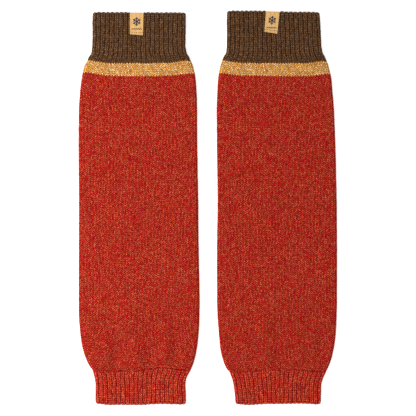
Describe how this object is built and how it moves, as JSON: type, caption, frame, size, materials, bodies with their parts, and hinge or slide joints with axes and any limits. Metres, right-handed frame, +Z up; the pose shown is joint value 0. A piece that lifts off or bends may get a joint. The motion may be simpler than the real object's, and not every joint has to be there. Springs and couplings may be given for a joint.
{
  "type": "pair of leg warmers",
  "caption": "Knitted leg warmers lying flat side by side, with ribbed cuffs, a contrast stripe below the top cuff and a woven label at the rim.",
  "frame": {"origin": "on the surface under the pair, at the middle of its bounding box", "axes": "+Y runs up the leg warmers towards their brown top rims, +X to the right one as seen from above, +Z up from the surface"},
  "size_m": [0.2762, 0.424, 0.008],
  "materials": {
    "brown_rib": "dark brown heather wool, one by one rib knit, matt",
    "golden_stripe": "golden and cream marled wool, plain knit, matt",
    "red_knit": "red wool with orange and olive flecks, plain knit, matt",
    "red_rib": "red wool with orange and olive flecks, one by one rib knit, matt",
    "label_tape": "pale golden woven tape, slightly smooth"
  },
  "bodies": {
    "root": {"left_top_cuff_front": "brown_rib", "left_top_cuff_back": "brown_rib", "left_top_cuff_outer_fold": "brown_rib", "left_top_cuff_inner_fold": "brown_rib", "left_stripe_front": "golden_stripe", "left_stripe_back": "golden_stripe", "left_stripe_outer_fold": "golden_stripe", "left_stripe_inner_fold": "golden_stripe", "left_leg_front": "red_knit", "left_leg_back": "red_knit", "left_leg_outer_fold": "red_knit", "left_leg_inner_fold": "red_knit", "left_ankle_cuff_front": "red_rib", "left_ankle_cuff_back": "red_rib", "left_ankle_cuff_outer_fold": "red_rib", "left_ankle_cuff_inner_fold": "red_rib", "left_label": "label_tape", "right_top_cuff_front": "brown_rib", "right_top_cuff_back": "brown_rib", "right_top_cuff_outer_fold": "brown_rib", "right_top_cuff_inner_fold": "brown_rib", "right_stripe_front": "golden_stripe", "right_stripe_back": "golden_stripe", "right_stripe_outer_fold": "golden_stripe", "right_stripe_inner_fold": "golden_stripe", "right_leg_front": "red_knit", "right_leg_back": "red_knit", "right_leg_outer_fold": "red_knit", "right_leg_inner_fold": "red_knit", "right_ankle_cuff_front": "red_rib", "right_ankle_cuff_back": "red_rib", "right_ankle_cuff_outer_fold": "red_rib", "right_ankle_cuff_inner_fold": "red_rib", "right_label": "label_tape"}
  },
  "joints": []
}
